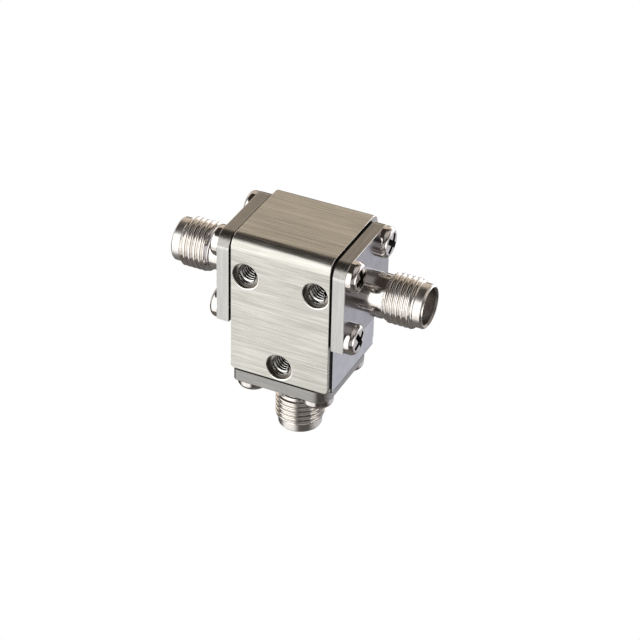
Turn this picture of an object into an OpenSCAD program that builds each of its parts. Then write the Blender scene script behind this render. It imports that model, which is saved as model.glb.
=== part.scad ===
// Coaxial junction circulator with three threaded ports in a T.
// Frame: X to the right port, Y from the front face into the body, Z up.
// Origin: on the front mounting face, level with the side ports. Units: mm.

/* [Body] */
// width of the bent cover, across the side ports
cover_w = 13.3; // [13:0.1:17]
// depth over both cover sheets
cover_d = 13.6; // [13.4:0.1:17]
// side port axis up to the top of the cover
top_h = 6.75; // [6.6:0.05:9]
// side port axis down to the lower edge of the cover
bottom_h = 12.35; // [12:0.05:17]
// thickness of the cover sheet
cover_t = 0.8; // [0.5:0.05:0.9]
// outside radius of the two bends of the cover
bend_r = 1.7; // [1.2:0.1:2.4]
// radius of the four lower corners of the cover
cover_corner_r = 0.6; // [0.2:0.1:1.2]
// dark gap between a side edge of the cover and a flange
side_gap = 0.25; // [0.1:0.05:0.5]
// dark gap between the lower edge of the cover and the bottom flange
foot_gap = 0.1; // [0.05:0.05:0.3]

/* [Mounting holes] */
// upper tapped holes in from the side edges of the cover
hole_edge = 1.95; // [1.8:0.05:2.4]
// upper tapped holes above the side port axis
hole_rise = 1.6; // [0.8:0.1:1.9]
// lower tapped hole above the lower edge of the cover
hole_foot = 2; // [1.9:0.1:3]
// clearance hole through the cover
clearance_d = 3.4; // [2.8:0.1:3.6]
// major diameter of the tapped holes
tap_d = 2.5; // [1.6:0.1:2.6]
// depth of the tapped holes below the cover sheet
tap_depth = 3.4; // [2.5:0.1:3.6]

/* [Connectors] */
// side of the square connector flange
flange_s = 12.9; // [12.9:0.1:13.4]
// thickness of the connector flange
flange_t = 1.7; // [1.2:0.1:2.5]
// radius of the two large corners of the flange
flange_r = 1.9; // [1:0.1:2.4]
// radius of the two small corners of the flange
flange_small_r = 0.8; // [0.4:0.1:1.4]
// strip milled off the lower edge of the side flanges
side_trim = 0.75; // [0.3:0.05:0.9]
// connector length from the flange face to the rim
connector_l = 8.4; // [7.8:0.1:11]
// diameter of the smooth barrel next to the flange
barrel_d = 5.3; // [5:0.1:5.8]
// length of the smooth barrel
barrel_l = 3.1; // [2.4:0.1:3.6]
// major diameter of the connector thread
thread_d = 6.35; // [6.1:0.05:7]
// diameter of the plain lead-in ring in front of the thread
lead_d = 5.6; // [5.3:0.1:5.8]
// length of the lead-in ring with its chamfer
lead_l = 1.2; // [0.8:0.1:1.6]
// socket that takes the mating plug
socket_d = 4.6; // [4.3:0.1:4.8]
// depth of the socket down to the reference plane
socket_l = 1.9; // [1.5:0.1:2.4]
// diameter of the white insulator
insulator_d = 4.1; // [3.6:0.1:4.2]
// diameter of the centre contact
contact_d = 1.27; // [1.1:0.01:1.5]
// bore of the centre contact
contact_bore_d = 0.94; // [0.8:0.02:1]
// depth of the bore of the centre contact
contact_bore_l = 2.6; // [2:0.1:3.4]
// width of the slots that let the contact spring
contact_slot_w = 0.16; // [0.1:0.02:0.24]

/* [Flange screws] */
// distance between neighbouring screws of a flange
screw_pitch = 8.9; // [8.5:0.1:8.9]
// screw thread, taken as a plain shank
screw_d = 1.75; // [1.4:0.05:1.9]
// screw length in the housing
screw_l = 3.2; // [2:0.1:3.4]
// pan head diameter
head_d = 4; // [3.2:0.1:4]
// pan head height
head_h = 1.3; // [1.2:0.1:2]
// rounding of the pan head
head_round = 0.5; // [0.3:0.1:0.8]
// length of each bar of the cross recess
recess_l = 2.3; // [1.6:0.1:2.5]
// width of each bar of the cross recess
recess_w = 0.65; // [0.3:0.05:0.8]
// depth of the cross recess
recess_h = 0.9; // [0.5:0.1:1]
// hole through the flange is wider than the screw by this much
screw_play = 0.2; // [0.1:0.05:0.3]

/* [Junction] */
// round bore in the housing for the magnetic stack
stack_d = 5.6; // [5:0.1:6.4]
// stack discs are smaller than the bore by this much
stack_play = 0.2; // [0.1:0.05:0.4]
// thickness of each ferrite disc
ferrite_t = 1.6; // [1:0.1:2]
// thickness of each pole piece
pole_t = 0.8; // [0.5:0.1:1.2]
// thickness of the centre conductor
conductor_t = 0.2; // [0.1:0.05:0.3]
// diameter of the middle disc of the centre conductor
conductor_d = 3.2; // [2.6:0.1:4]
// width of the arms of the centre conductor
arm_w = 1; // [0.6:0.1:1.2]
// diameter of the three passages from the bore to the ports
passage_d = 2.4; // [2:0.1:2.6]
// diameter of the contact tail inside the passage
tail_d = 0.9; // [0.6:0.1:1]

/* [Hidden] */
$fn = 96;

// half width and foot of the housing, where the flanges are seated
seat_x = cover_w / 2 + side_gap;
seat_z = bottom_h + foot_gap;
// inner faces of the cover sheets, and its inside bend radius
inner_back = cover_d - cover_t;
inner_top = top_h - cover_t;
inner_r = bend_r - cover_t;
// flange fronts are flush with the front face, so the ports lie half a flange behind it
port_y = flange_s / 2;
upper_hole_x = cover_w / 2 - hole_edge;
lower_hole_z = -bottom_h + hole_foot;
// connector lengths from the flange seat
rim_z = flange_t + connector_l;
socket_z = rim_z - socket_l;
lead_z = rim_z - lead_l;
thread_z = flange_t + barrel_l;
chamfer = (thread_d - lead_d) / 2;
shoulder = (thread_d - barrel_d) / 2;
mouth = (lead_d - socket_d) / 4;
// the tail of a contact reaches half way from the flange seat to the stack bore
tail_l = (seat_x - stack_d / 2) / 2;
disc_d = stack_d - stack_play;
// extra length that carries a cut past a face
cut = 0.5;

plated = [0.80, 0.78, 0.74];
light_metal = [0.78, 0.77, 0.80];
stainless = [0.70, 0.68, 0.66];
white_plastic = [0.93, 0.92, 0.88];
gold = [0.85, 0.68, 0.32];
dark_ceramic = [0.16, 0.15, 0.15];
soft_iron = [0.52, 0.50, 0.48];
magnet_grey = [0.40, 0.40, 0.42];

// places a child that is drawn along Z on the seat of a port; its -X side turns up on the side ports
module at_right() {
    translate([seat_x, port_y, 0]) rotate([0, 90, 0]) children();
}

module at_left() {
    translate([-seat_x, port_y, 0]) rotate([0, -90, 0]) rotate([0, 0, 180]) children();
}

module at_bottom() {
    translate([0, port_y, -seat_z]) rotate([0, 180, 0]) children();
}

module at_ports() {
    at_right() children();
    at_left() children();
    at_bottom() children();
}

// the four screw places of a flange
module at_screws() {
    for (sx = [-1, 1]) {
        for (sy = [-1, 1]) {
            translate([sx * screw_pitch / 2, sy * screw_pitch / 2, 0]) children();
        }
    }
}

// turns a child drawn along Z so that it runs into the body along +Y from depth y
module into_body(x, y, z) {
    translate([x, y, z]) rotate([-90, 0, 0]) children();
}

module at_mount_holes(y) {
    into_body(-upper_hole_x, y, hole_rise) children();
    into_body(upper_hole_x, y, hole_rise) children();
    into_body(0, y, lower_hole_z) children();
}

// side outline in Y and Z with two round top corners
module side_outline(y0, y1, z0, z1, r) {
    translate([y0, z0]) square([y1 - y0, z1 - z0 - r]);
    translate([y0 + r, z0]) square([y1 - y0 - 2 * r, z1 - z0]);
    translate([y0 + r, z1 - r]) circle(r = r);
    translate([y1 - r, z1 - r]) circle(r = r);
}

// carries a side outline across the width
module across(width) {
    translate([-width / 2, 0, 0]) rotate([90, 0, 90]) linear_extrude(width) children();
}

module housing() {
    color(light_metal) difference() {
        across(2 * seat_x) side_outline(cover_t, inner_back, -seat_z, inner_top, inner_r);
        into_body(0, cover_t - cut, 0) cylinder(d = stack_d, h = cover_d);
        at_ports() translate([0, 0, cut - seat_z]) port_passage();
        at_mount_holes(cover_t - cut) cylinder(d = tap_d, h = tap_depth + cut);
        at_ports() at_screws() translate([0, 0, -screw_l]) cylinder(d = screw_d, h = screw_l + cut);
    }
}

module port_passage() {
    cylinder(d = passage_d, h = seat_z);
}

// front view outline of the cover with its round lower corners
module front_outline() {
    r = cover_corner_r;
    translate([-cover_w / 2, -bottom_h + r]) square([cover_w, bottom_h + top_h - r]);
    translate([-cover_w / 2 + r, -bottom_h]) square([cover_w - 2 * r, bottom_h]);
    translate([-cover_w / 2 + r, -bottom_h + r]) circle(r = r);
    translate([cover_w / 2 - r, -bottom_h + r]) circle(r = r);
}

module cover() {
    color(plated) difference() {
        intersection() {
            across(cover_w) side_outline(0, cover_d, -bottom_h, top_h, bend_r);
            translate([0, cover_d + cut, 0]) rotate([90, 0, 0])
                linear_extrude(cover_d + 2 * cut) front_outline();
        }
        across(cover_w + 2 * cut)
            side_outline(cover_t, inner_back, -bottom_h - cut, inner_top, inner_r);
        at_mount_holes(-cut) cylinder(d = clearance_d, h = cover_t + 2 * cut);
    }
}

// square flange: large corners on its -X side, small ones on its +X side,
// and a strip of the +X side milled off where there is a trim
module flange_outline(trim) {
    h = flange_s / 2;
    big = flange_r;
    small = flange_small_r;
    difference() {
        union() {
            translate([-h + big, -h]) square([flange_s - big - small, flange_s]);
            translate([-h, -h + big]) square([big, flange_s - 2 * big]);
            translate([h - small, -h + small]) square([small, flange_s - 2 * small]);
            for (side = [-1, 1]) {
                translate([-h + big, side * (h - big)]) circle(r = big);
                translate([h - small, side * (h - small)]) circle(r = small);
            }
        }
        if (trim > 0) translate([h - trim, -h - cut]) square([trim + cut, flange_s + 2 * cut]);
    }
}

// half section of the turned end: barrel, thread at its major diameter, lead-in ring,
// and the open socket down to the reference plane
module turned_section() {
    polygon([
        [0, flange_t - cut],
        [barrel_d / 2, flange_t - cut],
        [barrel_d / 2, thread_z],
        [thread_d / 2, thread_z + shoulder],
        [thread_d / 2, lead_z - chamfer],
        [lead_d / 2, lead_z],
        [lead_d / 2, rim_z - mouth],
        [lead_d / 2 - mouth, rim_z],
        [socket_d / 2, rim_z - mouth],
        [socket_d / 2, socket_z],
        [0, socket_z]
    ]);
}

module connector_shell(trim) {
    difference() {
        union() {
            linear_extrude(flange_t) flange_outline(trim);
            rotate_extrude() turned_section();
        }
        translate([0, 0, -cut]) cylinder(d = insulator_d, h = rim_z);
        at_screws() translate([0, 0, -cut]) cylinder(d = screw_d + screw_play, h = flange_t + 2 * cut);
    }
}

module left_connector_shell() {
    color(stainless) at_left() connector_shell(side_trim);
}

module right_connector_shell() {
    color(stainless) at_right() connector_shell(side_trim);
}

module bottom_connector_shell() {
    color(stainless) at_bottom() connector_shell(0);
}

module insulator() {
    difference() {
        cylinder(d = insulator_d, h = socket_z);
        translate([0, 0, -cut]) cylinder(d = contact_d, h = socket_z + 2 * cut);
    }
}

module left_insulator() {
    color(white_plastic) at_left() insulator();
}

module right_insulator() {
    color(white_plastic) at_right() insulator();
}

module bottom_insulator() {
    color(white_plastic) at_bottom() insulator();
}

// female contact: slotted socket flush with the reference plane, thin tail into the passage
module contact() {
    difference() {
        union() {
            cylinder(d = contact_d, h = socket_z);
            translate([0, 0, -tail_l]) cylinder(d = tail_d, h = tail_l + cut);
        }
        translate([0, 0, socket_z - contact_bore_l]) {
            cylinder(d = contact_bore_d, h = contact_bore_l + cut);
            translate([-contact_d, -contact_slot_w / 2, 0])
                cube([2 * contact_d, contact_slot_w, contact_bore_l + cut]);
            translate([-contact_slot_w / 2, -contact_d, 0])
                cube([contact_slot_w, 2 * contact_d, contact_bore_l + cut]);
        }
    }
}

module left_contact() {
    color(gold) at_left() contact();
}

module right_contact() {
    color(gold) at_right() contact();
}

module bottom_contact() {
    color(gold) at_bottom() contact();
}

// half section of a pan head with its round shoulder
module head_section() {
    square([head_d / 2, head_h - head_round]);
    square([head_d / 2 - head_round, head_h]);
    translate([head_d / 2 - head_round, head_h - head_round]) intersection() {
        circle(r = head_round);
        square(head_round);
    }
}

module flange_screw() {
    difference() {
        union() {
            translate([0, 0, flange_t]) rotate_extrude() head_section();
            translate([0, 0, -screw_l]) cylinder(d = screw_d, h = screw_l + flange_t + cut);
        }
        translate([0, 0, flange_t + head_h - recess_h]) {
            translate([-recess_l / 2, -recess_w / 2, 0]) cube([recess_l, recess_w, head_h]);
            translate([-recess_w / 2, -recess_l / 2, 0]) cube([recess_w, recess_l, head_h]);
        }
    }
}

module left_flange_screws() {
    color(stainless) at_left() at_screws() flange_screw();
}

module right_flange_screws() {
    color(stainless) at_right() at_screws() flange_screw();
}

module bottom_flange_screws() {
    color(stainless) at_bottom() at_screws() flange_screw();
}

// disc with one arm to each contact tail
module center_conductor() {
    reach = seat_x - tail_l;
    drop = seat_z - tail_l;
    color(gold) translate([0, port_y + conductor_t / 2, 0]) rotate([90, 0, 0]) linear_extrude(conductor_t) {
        circle(d = conductor_d);
        translate([-reach, -arm_w / 2]) square([2 * reach, arm_w]);
        translate([-arm_w / 2, -drop]) square([arm_w, drop]);
    }
}

// one disc of the stack between two depths
module stack_disc(y0, y1) {
    into_body(0, y0, 0) cylinder(d = disc_d, h = y1 - y0);
}

// depths where the stack changes from one disc to the next, front side and back side
front_ferrite_y = port_y - conductor_t / 2 - ferrite_t;
front_pole_y = front_ferrite_y - pole_t;
back_ferrite_y = port_y + conductor_t / 2;
back_pole_y = back_ferrite_y + ferrite_t;
back_magnet_y = back_pole_y + pole_t;

module front_ferrite() {
    color(dark_ceramic) stack_disc(front_ferrite_y, front_ferrite_y + ferrite_t);
}

module back_ferrite() {
    color(dark_ceramic) stack_disc(back_ferrite_y, back_pole_y);
}

module front_pole_piece() {
    color(soft_iron) stack_disc(front_pole_y, front_ferrite_y);
}

module back_pole_piece() {
    color(soft_iron) stack_disc(back_pole_y, back_magnet_y);
}

module front_magnet() {
    color(magnet_grey) stack_disc(cover_t, front_pole_y);
}

module back_magnet() {
    color(magnet_grey) stack_disc(back_magnet_y, inner_back);
}

housing();
cover();
left_connector_shell();
right_connector_shell();
bottom_connector_shell();
left_insulator();
right_insulator();
bottom_insulator();
left_contact();
right_contact();
bottom_contact();
left_flange_screws();
right_flange_screws();
bottom_flange_screws();
center_conductor();
front_ferrite();
back_ferrite();
front_pole_piece();
back_pole_piece();
front_magnet();
back_magnet();
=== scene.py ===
"""Looks of a small coaxial circulator: a block under a bent brushed cover, with three flanged ports."""
import logging
import math
from dataclasses import dataclass, field, replace
from enum import Enum, IntEnum

import bmesh
import bpy
from bmesh.types import BMesh, BMEdge, BMFace, BMVert
from bpy.types import Material, NodeSocket, NodeTree, Object, ShaderNode
from mathutils import Matrix, Vector


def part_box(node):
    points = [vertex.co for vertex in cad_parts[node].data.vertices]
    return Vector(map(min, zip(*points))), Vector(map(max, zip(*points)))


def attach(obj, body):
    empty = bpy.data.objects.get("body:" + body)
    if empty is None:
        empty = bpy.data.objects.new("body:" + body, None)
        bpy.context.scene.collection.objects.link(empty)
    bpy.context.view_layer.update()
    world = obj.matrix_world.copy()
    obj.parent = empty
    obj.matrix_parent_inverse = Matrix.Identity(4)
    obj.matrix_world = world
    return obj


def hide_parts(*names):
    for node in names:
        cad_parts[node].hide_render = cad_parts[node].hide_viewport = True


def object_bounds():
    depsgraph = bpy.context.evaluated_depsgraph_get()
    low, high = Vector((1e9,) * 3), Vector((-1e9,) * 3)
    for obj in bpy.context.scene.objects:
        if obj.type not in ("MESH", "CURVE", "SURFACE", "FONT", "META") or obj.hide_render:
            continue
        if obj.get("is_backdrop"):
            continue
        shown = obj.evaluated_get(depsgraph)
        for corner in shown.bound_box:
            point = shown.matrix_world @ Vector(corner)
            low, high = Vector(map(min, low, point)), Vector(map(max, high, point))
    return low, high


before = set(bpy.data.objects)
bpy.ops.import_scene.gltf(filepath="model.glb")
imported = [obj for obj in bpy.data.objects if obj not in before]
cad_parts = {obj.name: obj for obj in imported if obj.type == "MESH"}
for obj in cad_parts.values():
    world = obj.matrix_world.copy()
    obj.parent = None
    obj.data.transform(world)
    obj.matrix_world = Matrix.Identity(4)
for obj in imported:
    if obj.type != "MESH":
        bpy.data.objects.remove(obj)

LOG = logging.getLogger("circulator")
MM = 0.001
NEAR_MM = 0.01
WELD_MM = 0.0002
CUT_MM = 0.0001
FLAT_DEG = 0.4
SHARP_DEG = 40.0
ACROSS = 0.5
FRONT_FACING = 0.98
UP_FACING = 0.9
Triple = tuple[float, float, float]
Colour = Triple


class Axis(Enum):
    """Row axis that a brushed or turned pattern follows."""

    X = 0
    Y = 1
    Z = 2


class ShellFace(IntEnum):
    """Kinds of face on a connector's shell, in the order of its finishes."""

    TURNED = 0
    FRONT = 1
    RIM = 2
    FLAT = 3
    EDGE = 4
    SOCKET = 5
    SEAM = 6
    LEAD = 7


class ScrewFace(IntEnum):
    """Kinds of face on a screw, in the order of its finishes."""

    STEEL = 0
    RECESS = 1


class CoverFace(IntEnum):
    """Kinds of face on the cover, in the order of its finishes."""

    PLATE = 0
    EDGE = 1
    HOLE = 2


class BlockFace(IntEnum):
    """Kinds of face on the block, in the order of its finishes."""

    PLATE = 0
    SEAM = 1
    TAPPED = 2
    EDGE = 3
    COVERED = 4


class Port(Enum):
    """One of the three ports."""

    LEFT = "left"
    RIGHT = "right"
    BOTTOM = "bottom"

    def node(self, part: str) -> str:
        """Names one part of this port.

        Args:
            part: the part's name without the port.

        Returns:
            The CAD node's or the piece's name.
        """
        return f"{self.value}_{part}"

    def place(self) -> Matrix:
        """Finds where the connector sits; the side ports are level with the row's origin.

        Returns:
            The matrix from the connector's own frame, Z outwards from the flange seat, to the row frame.
        """
        lo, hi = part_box(self.node("connector_shell"))
        mid = (lo + hi) / 2
        if self is Port.RIGHT:
            return Matrix.Translation((lo.x, mid.y, 0.0)) @ Matrix.Rotation(math.pi / 2, 4, "Y")
        if self is Port.LEFT:
            turned = Matrix.Rotation(-math.pi / 2, 4, "Y") @ Matrix.Rotation(math.pi, 4, "Z")
            return Matrix.Translation((hi.x, mid.y, 0.0)) @ turned
        return Matrix.Translation((mid.x, mid.y, hi.z)) @ Matrix.Rotation(math.pi, 4, "Y")


class NodeBoard:
    """Adds nodes to a node tree and links them."""

    def __init__(self, tree: NodeTree) -> None:
        """Takes the tree over.

        Args:
            tree: the node tree of a material or of the world.
        """
        self.tree = tree

    def add(self, kind: str) -> ShaderNode:
        """Adds one node.

        Args:
            kind: the node's type.

        Returns:
            The node.
        """
        return self.tree.nodes.new(kind)

    def feed(self, value: NodeSocket | Vector | Colour | float, socket: NodeSocket) -> None:
        """Links a socket or sets a plain value.

        Args:
            value: an output socket, a number or a vector.
            socket: the input that takes it.
        """
        if isinstance(value, NodeSocket):
            self.tree.links.new(value, socket)
        else:
            socket.default_value = value

    def math(self, kind: str, a: NodeSocket | float, b: NodeSocket | float) -> NodeSocket:
        """Joins two values by one sum.

        Args:
            kind: the math node's operation.
            a: first value.
            b: second value.

        Returns:
            The result's socket.
        """
        node = self.add("ShaderNodeMath")
        node.operation = kind
        self.feed(a, node.inputs[0])
        self.feed(b, node.inputs[1])
        return node.outputs["Value"]

    def mix(self, *parts: tuple[NodeSocket, float]) -> NodeSocket:
        """Adds values by their shares.

        Args:
            parts: each value with its share.

        Returns:
            The sum's socket.
        """
        total, *others = [self.math("MULTIPLY", value, share) for value, share in parts]
        for other in others:
            total = self.math("ADD", total, other)
        return total

    def spread(
        self, value: NodeSocket, low: float, high: float, a: float = 0.3, b: float = 0.7,
    ) -> NodeSocket:
        """Maps a value smoothly onto a range.

        Args:
            value: the value.
            low: result where the value is at a.
            high: result where the value is at b.
            a: lower end of the value.
            b: upper end of the value.

        Returns:
            The mapped value.
        """
        node = self.add("ShaderNodeMapRange")
        node.interpolation_type = "SMOOTHSTEP"
        self.feed(value, node.inputs["Value"])
        for name, number in (("From Min", a), ("From Max", b), ("To Min", low), ("To Max", high)):
            node.inputs[name].default_value = number
        return node.outputs["Result"]


class ShaderBoard(NodeBoard):
    """Adds nodes to one new material and links them to its Principled shader."""

    def __init__(self, name: str) -> None:
        """Starts the material with a shader, an output and the object's coordinates.

        Args:
            name: the material's name.
        """
        self.material = bpy.data.materials.new(name)
        self.material.use_nodes = True
        super().__init__(self.material.node_tree)
        self.tree.nodes.clear()
        output = self.add("ShaderNodeOutputMaterial")
        self.shader = self.add("ShaderNodeBsdfPrincipled")
        self.tree.links.new(self.shader.outputs["BSDF"], output.inputs["Surface"])
        self.where = self.add("ShaderNodeTexCoord").outputs["Object"]

    def constants(self, **values: float | Colour) -> None:
        """Sets the shader's own sockets.

        Args:
            values: socket names with _ for a space, and their numbers or colours.
        """
        for name, value in values.items():
            socket = self.shader.inputs[name.replace("_", " ")]
            socket.default_value = (*value, 1.0) if isinstance(value, tuple) else value

    def noise(self, stretch: Triple, detail: float = 2.0, roughness: float = 0.55) -> NodeSocket:
        """Makes a noise on the object's coordinates.

        Args:
            stretch: waves per metre along X, Y and Z.
            detail: octaves.
            roughness: how much the small octaves count.

        Returns:
            The noise's value, around 0.5.
        """
        mapping = self.add("ShaderNodeMapping")
        mapping.inputs["Scale"].default_value = stretch
        self.feed(self.where, mapping.inputs["Vector"])
        noise = self.add("ShaderNodeTexNoise")
        noise.inputs["Scale"].default_value = 1.0
        noise.inputs["Detail"].default_value = detail
        noise.inputs["Roughness"].default_value = roughness
        self.feed(mapping.outputs["Vector"], noise.inputs["Vector"])
        return noise.outputs["Fac"]

    def tint(self, value: NodeSocket, dark: Colour, light: Colour, a: float, b: float) -> None:
        """Colours the shader between two shades.

        Args:
            value: the noise that chooses the shade.
            dark: colour where the noise is at a.
            light: colour where the noise is at b.
            a: lower end of the noise.
            b: upper end of the noise.
        """
        ramp = self.add("ShaderNodeValToRGB")
        first, last = ramp.color_ramp.elements
        first.position, last.position = a, b
        first.color, last.color = (*dark, 1.0), (*light, 1.0)
        self.feed(value, ramp.inputs["Fac"])
        self.feed(ramp.outputs["Color"], self.shader.inputs["Base Color"])

    def bump(self, height: NodeSocket, strength: float, depth_mm: float) -> None:
        """Raises the surface by a noise.

        Args:
            height: the noise.
            strength: how strongly the light sees it.
            depth_mm: its depth.
        """
        node = self.add("ShaderNodeBump")
        node.inputs["Strength"].default_value = strength
        node.inputs["Distance"].default_value = depth_mm * MM
        self.feed(height, node.inputs["Height"])
        self.feed(node.outputs["Normal"], self.shader.inputs["Normal"])


@dataclass(frozen=True)
class Finish:
    """Base of the finishes: each paints one procedural material."""

    name: str

    def material(self) -> Material:
        """Returns the material, made once."""
        made = bpy.data.materials.get(self.name)
        if made is None:
            board = ShaderBoard(self.name)
            self.paint(board)
            made = board.material
        return made

    def paint(self, board: ShaderBoard) -> None:
        """Builds the shader's nodes.

        Args:
            board: the new material.
        """
        raise NotImplementedError


@dataclass(frozen=True)
class Brushed(Finish):
    """Metal with fine straight brush lines along one axis."""

    along: Axis
    dark: Colour
    light: Colour
    shine: tuple[float, float] = (0.24, 0.40)
    line_mm: float = 0.30
    reach_mm: float = 9.0
    relief: float = 0.22
    depth_mm: float = 0.02
    fine_spacing: float = 0.28
    fine_reach: float = 0.4
    shares: Triple = (0.6, 0.28, 0.12)
    cloud_waves: Triple = (170.0, 170.0, 170.0)
    contrast: tuple[float, float] = (0.36, 0.64)

    def lines(self, board: ShaderBoard, line_mm: float, reach_mm: float, detail: float) -> NodeSocket:
        """Makes one layer of brush lines.

        Args:
            board: the new material.
            line_mm: spacing across the lines.
            reach_mm: length of a line.
            detail: octaves.

        Returns:
            The layer's noise.
        """
        stretch = [1 / (line_mm * MM)] * 3
        stretch[self.along.value] = 1 / (reach_mm * MM)
        return board.noise(tuple(stretch), detail, roughness=0.62)

    def paint(self, board: ShaderBoard) -> None:
        """Lays long lines over fine ones and lets both steer colour, gloss and relief.

        Args:
            board: the new material.
        """
        fine_mm = self.line_mm * self.fine_spacing
        long_lines = self.lines(board, self.line_mm, self.reach_mm, detail=3.0)
        fine_lines = self.lines(board, fine_mm, self.reach_mm * self.fine_reach, detail=2.0)
        cloud = board.noise(self.cloud_waves)
        mixed = board.mix(*zip((long_lines, fine_lines, cloud), self.shares))
        board.tint(mixed, self.dark, self.light, *self.contrast)
        board.feed(board.spread(fine_lines, *self.shine), board.shader.inputs["Roughness"])
        board.bump(mixed, self.relief, self.depth_mm)
        board.constants(Metallic=1.0)


@dataclass(frozen=True)
class Turned(Finish):
    """Polished metal from the lathe, with faint rings around its axis."""

    around: Axis
    dark: Colour
    light: Colour
    shine: tuple[float, float] = (0.09, 0.20)
    relief: float = 0.10
    depth_mm: float = 0.006
    shares: tuple[float, float] = (0.55, 0.45)
    ring_waves: float = 9000.0
    round_waves: float = 60.0
    smudge_waves: Triple = (420.0, 420.0, 420.0)
    contrast: tuple[float, float] = (0.38, 0.62)

    def paint(self, board: ShaderBoard) -> None:
        """Rings vary along the axis, and a soft smudge varies all over.

        Args:
            board: the new material.
        """
        stretch = [self.round_waves] * 3
        stretch[self.around.value] = self.ring_waves
        rings = board.noise(tuple(stretch))
        smudge = board.noise(self.smudge_waves, detail=3.0)
        mixed = board.mix(*zip((rings, smudge), self.shares))
        board.tint(mixed, self.dark, self.light, *self.contrast)
        board.feed(board.spread(smudge, *self.shine), board.shader.inputs["Roughness"])
        board.bump(rings, self.relief, self.depth_mm)
        board.constants(Metallic=1.0)


@dataclass(frozen=True)
class Grained(Finish):
    """Metal or ceramic with an even fine grain and soft larger patches."""

    dark: Colour
    light: Colour
    metallic: float = 1.0
    shine: tuple[float, float] = (0.34, 0.48)
    grain_mm: float = 0.09
    patch_mm: float = 2.4
    relief: float = 0.15
    depth_mm: float = 0.01
    shares: tuple[float, float] = (0.4, 0.6)
    contrast: tuple[float, float] = (0.38, 0.62)

    def paint(self, board: ShaderBoard) -> None:
        """Grain steers relief and gloss, and patches steer the colour.

        Args:
            board: the new material.
        """
        grain, patch = (
            board.noise((1 / (size_mm * MM),) * 3, detail=3.0) for size_mm in (self.grain_mm, self.patch_mm)
        )
        mixed = board.mix(*zip((grain, patch), self.shares))
        board.tint(mixed, self.dark, self.light, *self.contrast)
        board.feed(board.spread(grain, *self.shine), board.shader.inputs["Roughness"])
        board.bump(grain, self.relief, self.depth_mm)
        board.constants(Metallic=self.metallic)


COVER_PLATE = Brushed("brushed_nickel", Axis.X, (0.37, 0.362, 0.335), (0.63, 0.622, 0.59), (0.22, 0.36))
# Painted highlight: the small roundings of the cover, the flange rims, the connector mouths and the tapped
# holes' mouths are coloured near white to stand for the light they catch.
PAINTED_HIGHLIGHT_EDGE = Grained(
    "painted_highlight_edge", (0.86, 0.84, 0.80), (0.97, 0.96, 0.93), shine=(0.14, 0.24), relief=0.05,
)
BLOCK_PLATE = Grained("plated_block", (0.53, 0.535, 0.585), (0.63, 0.635, 0.69))
# Painted shade: near black on the block's strips in the gaps beside the flanges and below the cover, and on
# the lowest rounding of each flange where it meets the body.
SEAM_SHADE = Grained("painted_shade_seam", (0.008, 0.007, 0.006), (0.020, 0.018, 0.016), 0.0, (0.70, 0.85))
# Painted shade: the socket inside each connector is coloured darker than the turned steel outside.
BORE_SHADE = Grained("painted_shade_bore", (0.27, 0.25, 0.235), (0.42, 0.395, 0.37), shine=(0.30, 0.42))
SIDE_TURNED = Turned("turned_steel_side", Axis.X, (0.62, 0.59, 0.56), (0.80, 0.78, 0.755), (0.10, 0.19))
SIDE_LEAD = Turned("satin_lead_side", Axis.X, (0.60, 0.575, 0.55), (0.76, 0.74, 0.72), (0.24, 0.34))
FOOT_TURNED = replace(SIDE_TURNED, name="turned_steel_foot", around=Axis.Z)
FOOT_LEAD = replace(SIDE_LEAD, name="satin_lead_foot", around=Axis.Z)
# Lit and shaded copies of the one flange metal, chosen by which way a face looks: painted light on the front
# faces, painted shade on the rims and on the outer face.
FLANGE_FRONT_LIT = Brushed(
    "flange_front_painted_light", Axis.Z, (0.41, 0.41, 0.405), (0.51, 0.51, 0.505), (0.22, 0.34), 0.35, 6.0, 0.12,
)
FLANGE_RIM_SHADED = Brushed(
    "flange_rim_painted_shade", Axis.Y, (0.25, 0.243, 0.235), (0.37, 0.363, 0.355), (0.24, 0.36), 0.30, 5.0, 0.15,
)
FLANGE_FACE_SHADED = Grained("flange_face_painted_shade", (0.36, 0.35, 0.38), (0.45, 0.44, 0.48), shine=(0.15, 0.25))
# Painted shade: darker copies of the flange metal for the front and the rim of the bottom port's flange.
FOOT_FRONT_SHADED = Brushed(
    "foot_front_painted_shade", Axis.X, (0.25, 0.25, 0.246), (0.33, 0.33, 0.326), (0.24, 0.36), 0.30, 5.0, 0.15,
)
FOOT_RIM_SHADED = Brushed(
    "foot_rim_painted_shade", Axis.Y, (0.28, 0.27, 0.27), (0.40, 0.39, 0.39), (0.26, 0.38), 0.30, 5.0, 0.15,
)
SCREW_STEEL = Turned("screw_steel", Axis.Y, (0.54, 0.51, 0.49), (0.76, 0.73, 0.72), (0.05, 0.12))
# Painted shade: near black in the screws' cross recesses and in the tapped holes of the block.
RECESS_SHADE = Grained("painted_shade_recess", (0.012, 0.010, 0.009), (0.035, 0.031, 0.028), 0.6, (0.40, 0.60))
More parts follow.
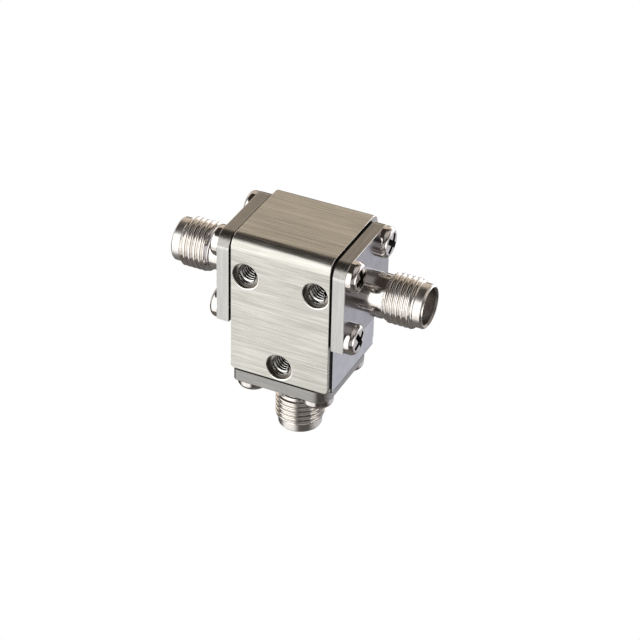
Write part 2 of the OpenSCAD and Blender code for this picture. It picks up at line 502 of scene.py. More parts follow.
# Painted shade: the walls of the cover's clearance holes, and the block's face under the cover that shows
# through them, are darker than the metal around.
HOLE_WALL_SHADE = Grained("painted_shade_hole_wall", (0.24, 0.225, 0.205), (0.40, 0.38, 0.355), shine=(0.26, 0.38))
HOLE_THREAD = Grained("cut_thread", (0.54, 0.54, 0.53), (0.74, 0.74, 0.73), shine=(0.12, 0.22))
WHITE_PLASTIC = Grained(
    "white_fluoropolymer", (0.80, 0.79, 0.74), (0.88, 0.87, 0.83), 0.0, (0.40, 0.52), 0.15, 1.6, 0.08,
)
GOLD_PLATE = Grained(
    "gold_plate", (0.74, 0.50, 0.17), (0.88, 0.65, 0.28), 1.0, (0.16, 0.28), 0.07, 0.9, 0.08,
)
DARK_CERAMIC = Grained(
    "ground_ferrite", (0.022, 0.021, 0.022), (0.045, 0.043, 0.043), 0.0, (0.42, 0.60), 0.12, 1.2, 0.2,
)
SOFT_IRON = Grained("soft_iron", (0.34, 0.33, 0.31), (0.48, 0.46, 0.44))
MAGNET_GREY = Grained(
    "sintered_magnet", (0.11, 0.11, 0.12), (0.18, 0.18, 0.19), 0.3, (0.45, 0.60), 0.14, 1.5, 0.25,
)


def sharp_edges(bm: BMesh, limit: float) -> list[BMEdge]:
    """Finds the edges whose faces meet at more than an angle.

    Args:
        bm: the mesh.
        limit: the angle in degrees.

    Returns:
        The edges.
    """
    return [e for e in bm.edges if len(e.link_faces) == 2 and e.calc_face_angle(0.0) > math.radians(limit)]


def soften(bm: BMesh, edges: list[BMEdge], width_mm: float, segments: int, material: int) -> None:
    """Rounds edges by a small bevel and gives the new faces a material.

    Args:
        bm: the mesh.
        edges: the edges to round.
        width_mm: width of the bevel.
        segments: steps across the bevel.
        material: index of the new faces' material.
    """
    made = bmesh.ops.bevel(
        bm, geom=edges, offset=width_mm * MM, offset_type="OFFSET", segments=segments, profile=0.5,
        affect="EDGES", clamp_overlap=True, material=-1,
    )
    for face in made["faces"]:
        face.material_index = material


def shade(bm: BMesh, limit: float = 24.0, panel_deg: float = 1.0, panel_ratio: float = 12.0) -> None:
    """Smooths the faces and keeps the edges sharp that are steeper than an angle, or that end a flat panel.

    Args:
        bm: the mesh.
        limit: the angle in degrees.
        panel_deg: angle from which an edge can end a panel.
        panel_ratio: how many times larger the panel is than the face beside it.
    """
    for face in bm.faces:
        face.smooth = True
    for edge in bm.edges:
        if len(edge.link_faces) != 2:
            edge.smooth = False
            continue
        areas = sorted(f.calc_area() for f in edge.link_faces)
        angle = math.degrees(edge.calc_face_angle(0.0))
        edge.smooth = angle < limit and not (angle > panel_deg and areas[1] > panel_ratio * areas[0])


def merged_copy(node: str) -> BMesh:
    """Copies a CAD node's mesh and welds its loose triangles into whole flat faces.

    Args:
        node: the CAD node.

    Returns:
        The welded mesh.
    """
    bm = bmesh.new()
    bm.from_mesh(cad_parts[node].data)
    bmesh.ops.remove_doubles(bm, verts=bm.verts[:], dist=WELD_MM * MM)
    bmesh.ops.dissolve_limit(bm, angle_limit=math.radians(FLAT_DEG), verts=bm.verts[:], edges=bm.edges[:])
    return bm


def as_piece(bm: BMesh, name: str, finishes: list[Finish], node: str | None) -> Object:
    """Turns a mesh into a dressed piece that rides on the body.

    Args:
        bm: the mesh, in the row frame; it is used up.
        name: the piece's name.
        finishes: one finish for each material index.
        node: the CAD node that the piece stands for, if any.

    Returns:
        The piece.
    """
    mesh = bpy.data.meshes.new(name)
    bm.to_mesh(mesh)
    bm.free()
    for finish in finishes:
        mesh.materials.append(finish.material())
    piece = bpy.data.objects.new(name, mesh)
    bpy.context.scene.collection.objects.link(piece)
    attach(piece, "root")
    if node is not None:
        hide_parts(node)
    mesh.calc_loop_triangles()
    LOG.info("%s: %d triangles, %s", name, len(mesh.loop_triangles), ", ".join(f.name for f in finishes))
    return piece


def dress_node(node: str, finish: Finish) -> None:
    """Gives a CAD node that stays its finish.

    Args:
        node: the CAD node.
        finish: its finish.
    """
    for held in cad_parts[node].material_slots:
        held.material = finish.material()
    LOG.info("%s: CAD shape, %s", node, finish.name)


@dataclass
class Helix:
    """A screw thread wound around Z, in millimetres."""

    root_r: float
    crest_r: float
    pitch: float
    low_z: float
    high_z: float
    steps: int = 64
    weld: float = 0.002
    form: tuple[tuple[float, float], ...] = (
        (0.0, 0.0), (0.11, 0.0), (0.17, 0.09), (0.25, 0.5), (0.32, 0.89), (0.38, 1.0),
        (0.62, 1.0), (0.68, 0.89), (0.75, 0.5), (0.83, 0.09), (0.89, 0.0), (1.0, 0.0),
    )

    def wind(self, bm: BMesh) -> list[BMVert]:
        """Spins one pitch of the thread form along the helix.

        Args:
            bm: the mesh that gets the thread.

        Returns:
            The thread's vertices, with neighbouring turns welded.
        """
        before = set(bm.verts)
        deep = self.crest_r - self.root_r
        profile = [(self.root_r + deep * h, self.low_z + self.pitch * t) for t, h in self.form]
        line = [bm.verts.new((r * MM, 0.0, z * MM)) for r, z in profile]
        edges = [bm.edges.new(pair) for pair in zip(line, line[1:])]
        turns = (self.high_z - self.low_z) / self.pitch - 1
        steps = round(turns * self.steps)
        bmesh.ops.spin(
            bm, geom=line + edges, cent=(0, 0, 0), axis=(0, 0, 1), dvec=(0, 0, self.pitch * MM / self.steps),
            angle=math.tau * steps / self.steps, steps=steps, use_merge=False,
        )
        new = [v for v in bm.verts if v not in before]
        bmesh.ops.remove_doubles(bm, verts=new, dist=self.weld * MM)
        return [v for v in bm.verts if v not in before]


def close_and_face(bm: BMesh, verts: list[BMVert]) -> list[BMFace]:
    """Joins the two open ends of a wound form by a sleeve, if it has any, and turns the faces outwards.

    Args:
        bm: the mesh.
        verts: the vertices of one form.

    Returns:
        The form's faces.
    """
    edges = {e for v in verts for e in v.link_edges if e.is_boundary}
    if edges:
        bmesh.ops.bridge_loops(bm, edges=list(edges))
    faces = list({f for v in verts for f in v.link_faces})
    bmesh.ops.recalc_face_normals(bm, faces=faces)
    return faces


def revolve(bm: BMesh, outline: list[tuple[float, float]], steps: int, weld: float = 0.0005) -> list[BMFace]:
    """Spins a closed half section around Z.

    Args:
        bm: the mesh that gets the turned form.
        outline: corners as radius and height, in millimetres.
        steps: steps of the full turn.
        weld: how close points are joined, in millimetres.

    Returns:
        The form's faces, outwards.
    """
    before = set(bm.verts)
    ring = [bm.verts.new((r * MM, 0.0, z * MM)) for r, z in outline]
    edges = [bm.edges.new(pair) for pair in zip(ring, ring[1:] + ring[:1])]
    bmesh.ops.spin(
        bm, geom=ring + edges, cent=(0, 0, 0), axis=(0, 0, 1), dvec=(0, 0, 0),
        angle=math.tau, steps=steps, use_merge=True,
    )
    new = [v for v in bm.verts if v not in before]
    bmesh.ops.remove_doubles(bm, verts=new, dist=weld * MM)
    return close_and_face(bm, [v for v in bm.verts if v not in before])


@dataclass
class Connector:
    """One threaded coaxial port with its flange, screws, insulator and contact; sizes in millimetres."""

    port: Port
    flange_s: float = 12.9
    flange_t: float = 1.7
    flange_r: float = 1.9
    flange_small_r: float = 0.8
    side_trim: float = 0.75
    connector_l: float = 8.4
    barrel_r: float = 2.65
    barrel_l: float = 3.1
    thread_r: float = 3.175
    thread_root_r: float = 2.84
    thread_pitch: float = 0.7056
    lead_r: float = 2.8
    lead_l: float = 1.2
    socket_r: float = 2.3
    socket_l: float = 1.9
    insulator_r: float = 2.05
    screw_pitch: float = 8.9
    screw_hole_r: float = 0.975
    head_h: float = 1.3
    head_r: float = 2.0
    head_sag: float = 0.28
    recess_h: float = 0.9
    recess_flare: float = 1.15
    recess_taper: float = 0.6
    turns: tuple[float, ...] = (14.0, 52.0, 33.0, 71.0)
    rim_bevel: float = 0.09
    seam_h: float = 0.1
    rim_share: float = 0.4
    hole_margin: float = 1.1
    sink: float = 0.4
    core_gap: float = 0.02
    shoulder: float = 0.1
    groove: float = 0.12
    lead_edge: float = 0.03
    rim_edge: float = 0.10
    rim_land: float = 0.04
    rim_band: float = 0.11
    socket_band: float = 0.05
    overrun: float = 1.2
    dome_h: float = 0.55
    dome_reach: float = 1.01
    dome_grid: float = 0.3
    turned_deg: float = 30.0
    thread_deg: float = 70.0
    flange_deg: float = 60.0
    corner_steps: int = 14
    bore_steps: int = 64
    hole_steps: int = 28
    turned_steps: int = 88

    def finishes(self) -> list[Finish]:
        """Returns the shell's finishes, in the order of ShellFace."""
        foot = self.port is Port.BOTTOM
        # Front, rim and outer face get lit and shaded copies of one metal; the edges get a painted highlight;
        # the socket and the seam get painted shade.
        outer = [FOOT_TURNED, FOOT_FRONT_SHADED, FOOT_RIM_SHADED] if foot else [SIDE_TURNED, FLANGE_FRONT_LIT, FLANGE_RIM_SHADED]
        lead = FOOT_LEAD if foot else SIDE_LEAD
        return outer + [FLANGE_FACE_SHADED, PAINTED_HIGHLIGHT_EDGE, BORE_SHADE, SEAM_SHADE, lead]

    def rim_z(self) -> float:
        """Returns the height of the rim above the flange seat."""
        return self.flange_t + self.connector_l

    def screw_places(self) -> list[Vector]:
        """Returns the four screw axes in the connector's own frame, in metres."""
        half = self.screw_pitch / 2 * MM
        return [Vector((x * half, y * half, 0.0)) for x in (-1, 1) for y in (-1, 1)]

    def on_rim(self, vert: BMVert) -> bool:
        """Tells whether a vertex of the flange lies on its outer outline, clear of every hole.

        Args:
            vert: the vertex, in the connector's own frame.

        Returns:
            True if it does.
        """
        clear = self.screw_hole_r * self.hole_margin * MM
        outside = vert.co.xy.length > self.rim_share * self.flange_s * MM
        return outside and all((vert.co.xy - place.xy).length > clear for place in self.screw_places())

    def outline(self, bm: BMesh) -> None:
        """Draws the flange outline with its large and small corners, and cuts the trim off a side flange.

        Args:
            bm: the shell's mesh.
        """
        half = self.flange_s / 2 * MM
        bmesh.ops.create_grid(bm, x_segments=1, y_segments=1, size=half)
        near = half - NEAR_MM * MM
        for side, radius in ((-1, self.flange_r), (1, self.flange_small_r)):
            corners = [v for v in bm.verts if v.co.x * side > near and abs(v.co.y) > near]
            bmesh.ops.bevel(
                bm, geom=corners, offset=radius * MM, offset_type="OFFSET", segments=self.corner_steps,
                profile=0.5, affect="VERTICES", clamp_overlap=False, material=-1,
            )
        if self.port is not Port.BOTTOM:
            bmesh.ops.bisect_plane(
                bm, geom=bm.verts[:] + bm.edges[:] + bm.faces[:], dist=CUT_MM * MM,
                plane_co=(half - self.side_trim * MM, 0, 0), plane_no=(1, 0, 0), clear_outer=True,
            )
        bmesh.ops.delete(bm, geom=bm.faces[:], context="FACES_ONLY")

    def flange(self, bm: BMesh) -> None:
        """Fills the flange outline around its bores, thickens it and rounds its rim.

        Args:
            bm: the shell's mesh.
        """
        self.outline(bm)
        bmesh.ops.create_circle(bm, cap_ends=False, radius=self.insulator_r * MM, segments=self.bore_steps)
        for place in self.screw_places():
            bmesh.ops.create_circle(
                bm, cap_ends=False, radius=self.screw_hole_r * MM, segments=self.hole_steps,
                matrix=Matrix.Translation(place),
            )
        bmesh.ops.triangle_fill(bm, use_beauty=True, use_dissolve=False, edges=bm.edges[:])
        made = bmesh.ops.extrude_face_region(bm, geom=bm.faces[:])
        lifted = [v for v in made["geom"] if isinstance(v, BMVert)]
        bmesh.ops.translate(bm, vec=(0, 0, self.flange_t * MM), verts=lifted)
        bmesh.ops.dissolve_limit(bm, angle_limit=math.radians(FLAT_DEG), verts=bm.verts[:], edges=bm.edges[:])
        bmesh.ops.recalc_face_normals(bm, faces=bm.faces[:])
        facing = self.port.place().to_3x3()
        # Faces looking to the front get the lighter copy of the flange metal, the outer face and the rims
        # darker copies: painted light and shade by facing.
        for face in bm.faces:
            front = (facing @ face.normal).y < -FRONT_FACING
            side = ShellFace.FRONT if front else ShellFace.RIM
            face.material_index = ShellFace.FLAT if face.normal.z > UP_FACING else side
        rim = [e for e in sharp_edges(bm, self.flange_deg) if all(self.on_rim(v) for v in e.verts)]
        # The rounded rim gets the painted highlight, and its lowest faces, where the flange meets the body,
        # get painted shade.
        soften(bm, rim, self.rim_bevel, 2, ShellFace.EDGE)
        for face in bm.faces:
            low = face.calc_center_median().z < self.seam_h * MM
            if face.material_index == ShellFace.EDGE and low:
                face.material_index = ShellFace.SEAM

    def turned_end(self, bm: BMesh) -> list[BMFace]:
        """Spins barrel, core under the thread, lead-in ring, rim and socket.

        Args:
            bm: the shell's mesh.

        Returns:
            The turned end's faces.
        """
        rim = self.rim_z()
        base_z = self.flange_t - self.sink
        thread_z = self.flange_t + self.barrel_l
        lead_z = rim - self.lead_l
        mouth = (self.lead_r - self.socket_r) / 2
        core = self.thread_root_r - self.core_gap
        outline = [
            (self.insulator_r, base_z), (self.barrel_r, base_z),
            (self.barrel_r, thread_z - self.core_gap),
            (core, thread_z + self.shoulder), (core, lead_z - self.groove),
            (self.lead_r - self.lead_edge, lead_z - self.lead_edge), (self.lead_r, lead_z + self.core_gap),
            (self.lead_r, rim - mouth), (self.lead_r - self.rim_edge, rim - self.rim_edge),
            (self.lead_r - mouth, rim), (self.socket_r + mouth - self.rim_land, rim),
            (self.socket_r, rim - mouth),
            (self.socket_r, rim - self.socket_l), (self.insulator_r, rim - self.socket_l),
        ]
        return revolve(bm, outline, self.turned_steps)

    def thread(self, bm: BMesh) -> list[BMFace]:
        """Winds the coupling thread and trims it to the shoulder and to the chamfer at the lead-in ring.

        Args:
            bm: the shell's mesh.

        Returns:
            The thread's faces.
        """
        start = self.flange_t + self.barrel_l
        end = self.rim_z() - self.lead_l
        buried = self.barrel_r - self.groove
        past = self.overrun * self.thread_pitch
        helix = Helix(self.thread_root_r, self.thread_r, self.thread_pitch, start - past, end + past)
        verts = helix.wind(bm)
        for vert in verts:
            z = vert.co.z / MM
            inside = start < z < end
            limit = min(self.thread_r, self.barrel_r + z - start, self.lead_r + end - z) if inside else buried
            radius = vert.co.xy.length / MM
            if radius > limit:
                vert.co.xy *= limit / radius
        return close_and_face(bm, verts)

    def end_finish(self, face: BMFace) -> int:
        """Chooses the finish of a face of the turned end.

        Args:
            face: the face, in the connector's own frame.

        Returns:
            The socket's, the rim's, the lead-in ring's or the turned outside's index in ShellFace.
        """
        mid = face.calc_center_median() / MM
        # The socket gets painted shade and the band at the rim gets the painted highlight.
        if mid.xy.length < (self.lead_r + self.socket_r) / 2 - self.socket_band:
            return ShellFace.SOCKET
        if mid.z > self.rim_z() - self.rim_band:
            return ShellFace.EDGE
        return ShellFace.LEAD if mid.z > self.rim_z() - self.lead_l else ShellFace.TURNED

    def shell(self) -> Object:
        """Builds flange, turned end and thread as one piece.

        Returns:
            The piece.
        """
        bm = bmesh.new()
        self.flange(bm)
        shade(bm)
        for build, limit in ((self.turned_end, self.turned_deg), (self.thread, self.thread_deg)):
            for face in build(bm):
                face.material_index = self.end_finish(face)
                face.smooth = True
                for edge in face.edges:
                    angle = math.degrees(edge.calc_face_angle(0.0))
                    edge.smooth = len(edge.link_faces) == 2 and angle < limit
        bmesh.ops.transform(bm, matrix=self.port.place(), verts=bm.verts[:])
        name = self.port.node("threaded_end")
        return as_piece(bm, name, self.finishes(), self.port.node("connector_shell"))

    def head(self, bm: BMesh, axis: Vector, turn: float) -> None:
        """Domes one pan head, flares and tapers its cross recess and turns the screw.

        Args:
            bm: the screws' mesh, in the connector's own frame.
            axis: the screw's axis.
            turn: the screw's turn in degrees.
        """
        top_z = (self.flange_t + self.head_h) * MM
        floor_z = top_z - self.recess_h * MM
        move = Matrix.Translation(-axis)
        own = [v for v in bm.verts if (v.co.xy - axis.xy).length < self.screw_pitch / 2 * MM]
        low = [v for v in own if abs(v.co.z - floor_z) < NEAR_MM * MM]
        walls = {f for v in low for f in v.link_faces}
        rim = {v for f in walls for v in f.verts} - set(low)
        for verts, scale in ((low, self.recess_taper), (list(rim), self.recess_flare)):
            bmesh.ops.transform(bm, matrix=Matrix.Diagonal((scale, scale, 1.0, 1.0)), space=move, verts=verts)
        bmesh.ops.transform(bm, matrix=Matrix.Rotation(math.radians(turn), 4, "Z"), space=move, verts=own)
        # The recess walls get painted shade.
        for face in walls:
            face.material_index = ScrewFace.RECESS
        faces = {f for v in own for f in v.link_faces}
        flat = [f for f in faces if all(abs(v.co.z - top_z) < NEAR_MM * MM for v in f.verts)]
        flat = bmesh.ops.triangulate(bm, faces=flat)["faces"]
        edges = list({e for f in flat for e in f.edges if e.calc_length() > self.dome_grid * MM})
        bmesh.ops.subdivide_edges(bm, edges=edges, cuts=3, use_grid_fill=True)
        lowest = max(top_z - self.dome_h * MM, floor_z + NEAR_MM * MM)
        for vert in bm.verts:
            reach = (vert.co.xy - axis.xy).length / MM
            if reach <= self.head_r * self.dome_reach and vert.co.z > lowest:
                vert.co.z -= self.head_sag * (reach / self.head_r) ** 2 * MM

    def screws(self) -> Object:
        """Domes and turns the pan heads and rounds their edges.

        Returns:
            The piece.
        """
        node = self.port.node("flange_screws")
        bm = merged_copy(node)
        place = self.port.place()
        bmesh.ops.transform(bm, matrix=place.inverted(), verts=bm.verts[:])
        for axis, turn in zip(self.screw_places(), self.turns):
            self.head(bm, axis, turn)
        bmesh.ops.transform(bm, matrix=place, verts=bm.verts[:])
        bmesh.ops.recalc_face_normals(bm, faces=bm.faces[:])
        shade(bm, self.turned_deg)
        name = self.port.node("pan_head_screws")
        return as_piece(bm, name, [SCREW_STEEL, RECESS_SHADE], node)

    def build(self) -> None:
        """Builds the port's pieces and dresses the CAD shapes that stay."""
        self.shell()
        self.screws()
        dress_node(self.port.node("insulator"), WHITE_PLASTIC)
        dress_node(self.port.node("contact"), GOLD_PLATE)


@dataclass
class Body:
    """The block, its bent cover and the threads in the three mounting holes; sizes in millimetres."""

    edge: float = 0.07
    mouth_edge: float = 0.14
    tap_edge: float = 0.12
    block_edge: float = 0.04
    seam_x: float = 6.66
    seam_z: float = -12.36
    clearance_r: float = 1.7
    tap_r: float = 1.25
    tap_core_r: float = 1.03
    tap_pitch: float = 0.45
    tap_depth: float = 3.4
    tap_front_y: float = 0.8
    tap_sink: float = 0.03
    tap_end: float = 0.1
    tap_fade: float = 0.05
    tap_steps: int = 40
    hole_margin: float = 1.02
    tap_places: tuple[tuple[float, float], ...] = ((-4.7, 1.6), (4.7, 1.6), (0.0, -10.35))

    def in_hole(self, mid: Vector, radius: float) -> bool:
        """Tells whether a point lies in a mounting hole.

        Args:
            mid: the point, in millimetres.
            radius: the hole's radius, in millimetres.

        Returns:
            True if it lies within the radius of an axis.
        """
        reach = radius * self.hole_margin
        return any(math.hypot(mid.x - x, mid.z - z) < reach for x, z in self.tap_places)

    def at_mouth(self, edge: BMEdge, y: float, radius: float) -> bool:
        """Tells whether an edge runs around the mouth of a mounting hole.

        Args:
            edge: the edge.
            y: place of the mouth along Y, in millimetres.
            radius: radius of the mouth, in millimetres.

        Returns:
            True if both ends of the edge lie on the mouth.
        """
        ends = [v.co / MM for v in edge.verts]
        return all(abs(p.y - y) < NEAR_MM and self.in_hole(p, radius) for p in ends)

    def cover(self) -> Object:
        """Rounds the edges of the bent cover, whose roundings carry a painted highlight, and paints shade on
        the walls of its clearance holes.

        Returns:
            The piece.
        """
        bm = merged_copy("cover")
        edges = sharp_edges(bm, SHARP_DEG)
        mouths = [e for e in edges if self.at_mouth(e, 0.0, self.clearance_r)]
        soften(bm, [e for e in edges if e not in mouths], self.edge, 2, CoverFace.EDGE)
        soften(bm, [e for e in mouths if e.is_valid], self.mouth_edge, 3, CoverFace.EDGE)
        # The walls of the clearance holes get painted shade.
        for face in bm.faces:
            wall = face.material_index == CoverFace.PLATE and abs(face.normal.y) < ACROSS
            if wall and self.in_hole(face.calc_center_median() / MM, self.clearance_r):
                face.material_index = CoverFace.HOLE
        shade(bm)
        return as_piece(bm, "bent_cover", [COVER_PLATE, PAINTED_HIGHLIGHT_EDGE, HOLE_WALL_SHADE], "cover")

    def block_finish(self, face: BMFace) -> int:
        """Chooses the finish of a face of the block.

        Args:
            face: the face.

        Returns:
            The index in BlockFace: painted shade for the seams, the face under the cover and the tapped
                holes, else the plain block.
        """
        mid = face.calc_center_median() / MM
        beside = abs(mid.x) > self.seam_x and abs(face.normal.x) < ACROSS
        below = mid.z < self.seam_z and abs(face.normal.z) < ACROSS
        # Painted shade in the gaps beside the flanges and below the cover.
        if beside or below:
            return BlockFace.SEAM
        depth = mid.y - self.tap_front_y
        # Painted shade on the face under the cover, where it shows through the clearance holes.
        if face.normal.y < -ACROSS and abs(depth) < self.tap_fade:
            return BlockFace.COVERED
        # Painted shade in the tapped holes.
        deep = self.tap_end < depth < self.tap_depth + self.tap_end
        return BlockFace.TAPPED if deep and self.in_hole(mid, self.tap_r) else BlockFace.PLATE

    def block(self) -> Object:
        """Rounds the edges of the block under the cover, paints shade on its seams along the flanges and
        below the cover, on its face under the cover and in its tapped holes, and a highlight on the mouths of
        the tapped holes.

        Returns:
            The piece.
        """
        bm = merged_copy("housing")
        planes = (
            ((-self.seam_x, 0, 0), (1, 0, 0)),
            ((self.seam_x, 0, 0), (1, 0, 0)),
            ((0, 0, self.seam_z), (0, 0, 1)),
        )
        for place, normal in planes:
            bmesh.ops.bisect_plane(
                bm, geom=bm.verts[:] + bm.edges[:] + bm.faces[:], dist=CUT_MM * MM,
                plane_co=Vector(place) * MM, plane_no=normal,
            )
        edges = sharp_edges(bm, SHARP_DEG)
        mouths = [e for e in edges if self.at_mouth(e, self.tap_front_y, self.tap_r)]
        soften(bm, [e for e in edges if e not in mouths], self.block_edge, 1, BlockFace.PLATE)
        for face in bm.faces:
            face.material_index = self.block_finish(face)
        # The mouths of the tapped holes get the painted highlight.
        soften(bm, [e for e in mouths if e.is_valid], self.tap_edge, 2, BlockFace.EDGE)
        shade(bm)
        finishes = [BLOCK_PLATE, SEAM_SHADE, RECESS_SHADE, PAINTED_HIGHLIGHT_EDGE, HOLE_WALL_SHADE]
        return as_piece(bm, "milled_block", finishes, "housing")

    def hole_threads(self) -> Object:
        """Winds a thread along the wall of each tapped hole.

        Returns:
            The piece.
        """
        bm = bmesh.new()
        end = self.tap_depth - self.tap_end
        root_r = self.tap_r + self.tap_sink
        helix = Helix(root_r, self.tap_core_r, self.tap_pitch, -self.tap_pitch, end, self.tap_steps)
        for x, z in self.tap_places:
            verts = helix.wind(bm)
            for vert in verts:
                depth = vert.co.z / MM
                least = self.tap_r - max(0.0, min(depth, end - self.tap_pitch - depth) - self.tap_fade)
                radius = vert.co.xy.length / MM
                if radius < least:
                    vert.co.xy *= least / radius
            close_and_face(bm, verts)
            place = Matrix.Translation(Vector((x, self.tap_front_y, z)) * MM)
            turn = Matrix.Rotation(-math.pi / 2, 4, "X")
            bmesh.ops.transform(bm, matrix=place @ turn, verts=verts)
        for face in bm.faces:
            face.smooth = True
        return as_piece(bm, "hole_threads", [HOLE_THREAD], None)

    def build(self) -> None:
        """Builds cover, block and hole threads."""
        self.cover()
        self.block()
        self.hole_threads()


@dataclass
class Junction:
    """The closed stack inside the block, which keeps its CAD shapes."""

    finishes: dict[str, Finish] = field(default_factory=lambda: {
        "center_conductor": GOLD_PLATE,
        "front_ferrite": DARK_CERAMIC, "back_ferrite": DARK_CERAMIC,
        "front_pole_piece": SOFT_IRON, "back_pole_piece": SOFT_IRON,
        "front_magnet": MAGNET_GREY, "back_magnet": MAGNET_GREY,
    })

    def build(self) -> None:
        """Dresses each piece of the stack."""
        for node, finish in self.finishes.items():
            dress_node(node, finish)


@dataclass(frozen=True)
class Glow:
    """One soft patch of light in the room; angles in degrees, azimuth from the front towards the right."""

    azimuth: float
    elevation: float
    half_width: float
    half_height: float
    soft: float
    colour: Colour

    def axes(self) -> tuple[Vector, Vector, Vector]:
        """Returns the patch's middle, sideways and upright directions."""
        az, el = math.radians(self.azimuth), math.radians(self.elevation)
        middle = Vector((math.sin(az) * math.cos(el), -math.cos(az) * math.cos(el), math.sin(el)))
        side = Vector((math.cos(az), math.sin(az), 0.0))
        return middle, side, middle.cross(side)


class RoomBoard(NodeBoard):
    """Paints the room around the object by direction."""

    roundness = 4.0
    front_fade = 0.3

    def __init__(self, base: Colour) -> None:
        """Starts the world with its dim base colour.

        Args:
            base: colour where no patch shines.
        """
        world = bpy.data.worlds.new("room")
        bpy.context.scene.world = world
        world.use_nodes = True
        super().__init__(world.node_tree)
        self.where = self.add("ShaderNodeTexCoord").outputs["Generated"]
        self.light: NodeSocket | Colour = base

    def vector(
        self, kind: str, a: NodeSocket | Vector | Colour, b: NodeSocket | Vector | Colour,
    ) -> ShaderNode:
        """Joins two vectors.

        Args:
            kind: the vector node's operation.
            a: first vector.
            b: second vector.

        Returns:
            The node.
        """
        node = self.add("ShaderNodeVectorMath")
        node.operation = kind
        self.feed(a, node.inputs[0])
        self.feed(b, node.inputs[1])
        return node

    def along(self, way: Vector) -> NodeSocket:
        """Measures the looking direction along a vector.

        Args:
            way: the vector.

        Returns:
            The dot product's socket.
        """
        return self.vector("DOT_PRODUCT", self.where, way).outputs["Value"]

    def shine(self, glow: Glow) -> None:
        """Adds one patch of light.

        Args:
            glow: the patch.
        """
        middle, side, up = glow.axes()
        reach = []
        for way, half in ((side, glow.half_width), (up, glow.half_height)):
            share = self.along(way / math.sin(math.radians(half)))
            reach.append(self.math("POWER", self.math("ABSOLUTE", share, 0.0), self.roundness))
        edge = self.math("POWER", self.math("ADD", *reach), 1 / self.roundness)
        inside = self.spread(edge, 1.0, 0.0, 1 - glow.soft, 1 + glow.soft)
        ahead = self.spread(self.along(middle), 0.0, 1.0, 0.0, self.front_fade)
        amount = self.math("MULTIPLY", inside, ahead)
        scaled = self.add("ShaderNodeVectorMath")
        scaled.operation = "SCALE"
        scaled.inputs[0].default_value = glow.colour
        self.feed(amount, scaled.inputs["Scale"])
        self.light = self.vector("ADD", self.light, scaled.outputs["Vector"]).outputs["Vector"]

    def close(self) -> None:
        """Links the painted light to the background."""
        self.feed(self.light, self.tree.nodes["Background"].inputs["Color"])


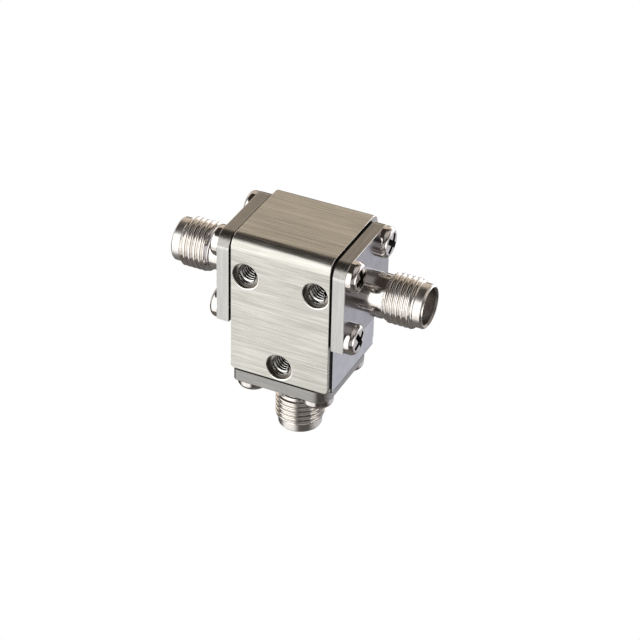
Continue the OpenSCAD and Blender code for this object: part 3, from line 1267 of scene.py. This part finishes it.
@dataclass
class Studio:
    """White floor and backdrop for the camera, and a dim room with patches of light; lengths in metres."""

    floor_half: float = 3.0
    dome_r: float = 6.0
    base: Colour = (0.047, 0.039, 0.033)
    glows: tuple[Glow, ...] = (
        Glow(-38.0, 10.5, 36.0, 34.5, 0.20, (2.00, 1.98, 1.93)),
        Glow(-34.0, -37.0, 32.0, 13.0, 0.30, (1.22, 1.21, 1.18)),
        Glow(0.0, -90.0, 40.0, 40.0, 0.40, (0.15, 0.142, 0.134)),
        Glow(-154.7, 22.0, 42.0, 22.0, 0.18, (0.77, 0.655, 0.53)),
        Glow(150.0, -27.0, 38.0, 18.0, 0.35, (0.63, 0.635, 0.67)),
        Glow(162.0, -3.0, 30.0, 17.0, 0.25, (1.25, 1.25, 1.27)),
        Glow(93.0, -16.0, 18.0, 13.0, 0.20, (2.00, 1.97, 1.92)),
        Glow(85.0, 50.0, 35.0, 18.0, 0.40, (0.35, 0.34, 0.33)),
        Glow(-105.0, 8.0, 28.0, 22.0, 0.30, (0.40, 0.39, 0.38)),
        Glow(90.0, 72.0, 22.0, 18.0, 0.50, (0.40, 0.385, 0.36)),
        Glow(45.0, -4.0, 42.0, 17.0, 0.30, (0.44, 0.43, 0.42)),
        Glow(118.0, 27.0, 26.0, 13.0, 0.30, (0.55, 0.48, 0.41)),
        Glow(-118.0, -14.0, 26.0, 11.0, 0.30, (0.62, 0.62, 0.65)),
    )

    def paper(self, bm: BMesh, name: str, board: ShaderBoard) -> None:
        """Stages a white surface that only the camera sees.

        Args:
            bm: the surface; it is used up.
            name: its name.
            board: its material.
        """
        mesh = bpy.data.meshes.new(name)
        bm.to_mesh(mesh)
        bm.free()
        mesh.materials.append(board.material)
        sheet = bpy.data.objects.new(name, mesh)
        sheet.visible_diffuse = sheet.visible_glossy = sheet.visible_transmission = False
        sheet.visible_volume_scatter = sheet.visible_shadow = False
        bpy.context.scene.collection.objects.link(sheet)
        sheet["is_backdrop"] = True

    def build(self, low_z: float) -> None:
        """Lays the floor, hangs the backdrop and lights the room.

        Args:
            low_z: the object's lowest point.
        """
        board = ShaderBoard("white_paper")
        board.constants(Base_Color=(0.0, 0.0, 0.0), Roughness=1.0, Specular_IOR_Level=0.0)
        board.constants(Emission_Color=(1.0, 1.0, 1.0), Emission_Strength=1.0)
        floor = bmesh.new()
        bmesh.ops.create_grid(floor, x_segments=8, y_segments=8, size=self.floor_half)
        bmesh.ops.translate(floor, vec=(0, 0, low_z - NEAR_MM * MM), verts=floor.verts[:])
        self.paper(floor, "floor", board)
        dome = bmesh.new()
        bmesh.ops.create_uvsphere(dome, u_segments=32, v_segments=16, radius=self.dome_r)
        self.paper(dome, "backdrop", board)
        room = RoomBoard(self.base)
        for glow in self.glows:
            room.shine(glow)
        room.close()


@dataclass
class PhotoCamera:
    """Camera at the photograph's angle; angles in degrees, lengths in millimetres, clip in metres."""

    azimuth: float = 25.32
    elevation: float = 33.43
    roll: float = 1.12
    distance: float = 307.56
    target: Triple = (0.0, 6.35, -2.2)
    lens: float = 140.625
    sensor: float = 36.0
    clip: tuple[float, float] = (0.01, 20.0)
    shift: tuple[float, float] = (0.02753, -0.05144)

    def build(self) -> None:
        """Places the camera and makes it the scene's own."""
        data = bpy.data.cameras.new("photo_camera")
        data.sensor_width = self.sensor
        data.lens = self.lens
        data.shift_x, data.shift_y = self.shift
        data.clip_start, data.clip_end = self.clip
        az, el = math.radians(self.azimuth), math.radians(self.elevation)
        back = Vector((math.sin(az) * math.cos(el), -math.cos(az) * math.cos(el), math.sin(el)))
        right = Vector((math.cos(az), math.sin(az), 0.0))
        axes = Matrix((right, back.cross(right), back)).transposed().to_4x4()
        place = (Vector(self.target) + back * self.distance) * MM
        camera = bpy.data.objects.new("photo_camera", data)
        turn = Matrix.Rotation(math.radians(self.roll), 4, "Z")
        camera.matrix_world = Matrix.Translation(place) @ axes @ turn
        bpy.context.scene.collection.objects.link(camera)
        bpy.context.scene.camera = camera


def main() -> None:
    """Builds the circulator's pieces, the studio and the camera in order."""
    logging.basicConfig(level=logging.INFO, format="%(message)s")
    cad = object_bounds()
    PhotoCamera().build()
    Body().build()
    for port in Port:
        Connector(port).build()
    Junction().build()
    Studio().build(cad[0][2])
    bpy.context.scene.view_settings.view_transform = "Standard"


if __name__ == "__main__":
    main()
